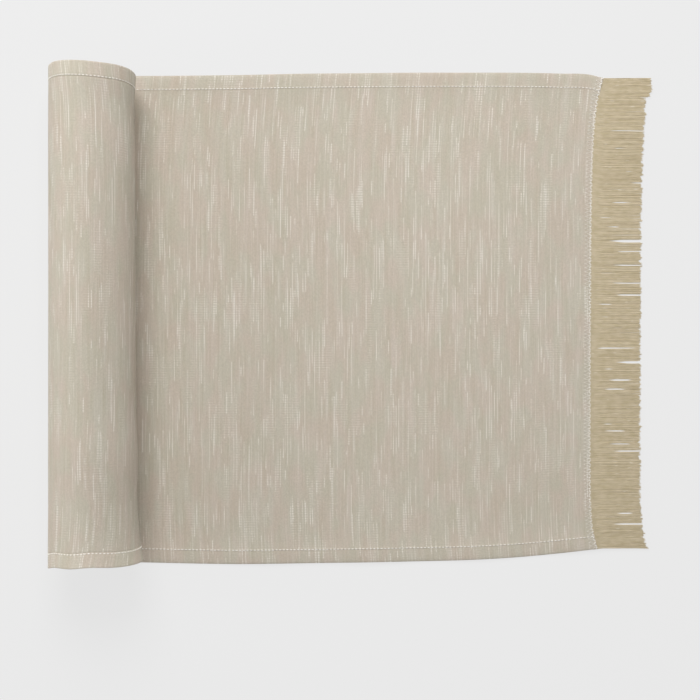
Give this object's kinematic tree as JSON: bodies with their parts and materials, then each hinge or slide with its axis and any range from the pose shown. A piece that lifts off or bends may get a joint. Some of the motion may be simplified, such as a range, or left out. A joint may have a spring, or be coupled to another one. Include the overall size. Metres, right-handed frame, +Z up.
{
  "type": "table runner",
  "caption": "Slub chambray table runner with turned hems and a yarn fringe at each end, its inner end rolled up and its free length laid flat.",
  "frame": {"origin": "on the table, under the middle of the runner as it lies", "axes": "+X along the runner from the roll to the free fringed end, +Y across it, +Z up from the table"},
  "size_m": [0.4362, 0.356, 0.0626],
  "materials": {
    "slub_cloth": "matt plain weave in two close shades of beige, with pale raised slubs across it",
    "sewing_thread": "cream spun thread with a slight sheen",
    "fringe_yarn": "loose tan warp yarn, slightly lustrous"
  },
  "bodies": {
    "rolled_length": {"inner_end_bobbin_thread": "sewing_thread", "inner_end_needle_thread": "sewing_thread", "inner_fringe": "fringe_yarn", "rolled_bobbin_thread_back": "sewing_thread", "rolled_bobbin_thread_front": "sewing_thread", "rolled_cloth": "slub_cloth", "rolled_hem_back": "slub_cloth", "rolled_hem_front": "slub_cloth", "rolled_needle_thread_back": "sewing_thread", "rolled_needle_thread_front": "sewing_thread"},
    "free_length": {"flat_bobbin_thread_back": "sewing_thread", "flat_bobbin_thread_front": "sewing_thread", "flat_cloth": "slub_cloth", "flat_hem_back": "slub_cloth", "flat_hem_front": "slub_cloth", "flat_needle_thread_back": "sewing_thread", "flat_needle_thread_front": "sewing_thread", "outer_end_bobbin_thread": "sewing_thread", "outer_end_needle_thread": "sewing_thread"},
    "outer_fringe": {"fringe_tuft_01": "fringe_yarn", "fringe_tuft_02": "fringe_yarn", "fringe_tuft_03": "fringe_yarn", "fringe_tuft_04": "fringe_yarn", "fringe_tuft_05": "fringe_yarn", "fringe_tuft_06": "fringe_yarn", "fringe_tuft_07": "fringe_yarn", "fringe_tuft_08": "fringe_yarn", "fringe_tuft_09": "fringe_yarn", "fringe_tuft_10": "fringe_yarn", "fringe_tuft_11": "fringe_yarn", "fringe_tuft_12": "fringe_yarn", "fringe_tuft_13": "fringe_yarn", "fringe_tuft_14": "fringe_yarn", "fringe_tuft_15": "fringe_yarn", "fringe_tuft_16": "fringe_yarn", "fringe_tuft_17": "fringe_yarn", "fringe_tuft_18": "fringe_yarn", "fringe_tuft_19": "fringe_yarn", "fringe_tuft_20": "fringe_yarn", "fringe_tuft_21": "fringe_yarn", "fringe_tuft_22": "fringe_yarn", "fringe_tuft_23": "fringe_yarn", "fringe_tuft_24": "fringe_yarn"}
  },
  "joints": [
    {"name": "free_length_fold", "type": "hinge", "parent": "rolled_length", "child": "free_length", "pos_m": [-0.14901, 0, 0.00097], "axis": [0, -1, 0], "range_deg": [0, 90]},
    {"name": "fringe_fold", "type": "hinge", "parent": "free_length", "child": "outer_fringe", "pos_m": [0.18215, 0, 0.0003], "axis": [0, -1, 0], "range_deg": [0, 90]}
  ]
}
